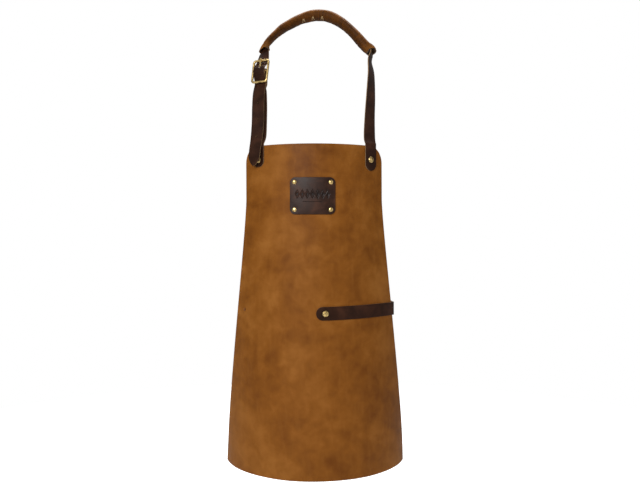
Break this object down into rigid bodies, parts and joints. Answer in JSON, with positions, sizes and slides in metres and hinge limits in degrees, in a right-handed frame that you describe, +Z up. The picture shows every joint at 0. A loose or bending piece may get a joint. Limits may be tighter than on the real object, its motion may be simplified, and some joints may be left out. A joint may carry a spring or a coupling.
{
  "type": "leather bib apron",
  "caption": "Leather bib apron hanging in a curve, with a padded adjustable neck strap, a riveted label patch and a buckled waist strap.",
  "frame": {"origin": "underside of the neck pad at its highest point, where the apron hangs from a hook or a neck", "axes": "+Z up, front of the apron faces -Y, +X to the right as seen from the front"},
  "size_m": [0.4598, 0.2814, 1.1811],
  "materials": {
    "panel_leather": "oiled tan pull-up leather, mottled, semi-matt",
    "label_leather": "dark brown leather, soft sheen, pressed border",
    "strap_leather": "dark brown bridle leather with raw beige cut edges",
    "pad_leather": "soft tan leather, creased",
    "foam": "closed-cell foam",
    "thread": "waxed thread",
    "brass": "antique brass, satin, darker in the corners",
    "brass_backs": "plain brass",
    "tan_head": "flat tan enamel"
  },
  "bodies": {
    "apron": {"apron_panel": "panel_leather", "label_patch": "label_leather", "label_rivet_caps": "brass", "label_rivet_backs": "brass_backs", "neck_strap": "strap_leather", "neck_buckle_strap": "strap_leather", "neck_rivet_caps": "brass", "neck_rivet_backs": "brass_backs", "neck_fold_rivet_cap": "brass_backs", "neck_fold_rivet_back": "brass_backs", "neck_pad_cover": "pad_leather", "neck_pad_foam": "foam", "neck_pad_lacing": "thread", "waist_strap_right": "strap_leather", "waist_strap_left": "strap_leather", "waist_front_rivet_cap": "brass", "waist_front_rivet_back": "brass_backs", "waist_side_rivet_cap": "tan_head", "waist_side_rivet_back": "brass_backs", "waist_fold_rivet_cap": "brass_backs", "waist_fold_rivet_back": "brass_backs"},
    "neck_buckle": {"neck_buckle_frame": "brass"},
    "neck_prong": {"neck_buckle_prong": "brass"},
    "waist_buckle": {"waist_buckle_frame": "brass"},
    "waist_prong": {"waist_buckle_prong": "brass"}
  },
  "joints": [
    {"name": "neck_buckle_rock", "type": "hinge", "parent": "apron", "child": "neck_buckle", "pos_m": [-0.1386, -0.073, -0.1535], "axis": [0.9063, -0.4226, 0], "range_deg": [-2.5, 2.5]},
    {"name": "neck_prong_lift", "type": "hinge", "parent": "neck_buckle", "child": "neck_prong", "pos_m": [-0.1386, -0.073, -0.1535], "axis": [0.9063, -0.4226, 0], "range_deg": [0, 12]},
    {"name": "waist_buckle_rock", "type": "hinge", "parent": "apron", "child": "waist_buckle", "pos_m": [0, 0.074, -0.7535], "axis": [0, 0, 1], "range_deg": [-2.5, 2.5]},
    {"name": "waist_prong_lift", "type": "hinge", "parent": "waist_buckle", "child": "waist_prong", "pos_m": [0, 0.074, -0.7535], "axis": [0, 0, 1], "range_deg": [0, 12]}
  ]
}
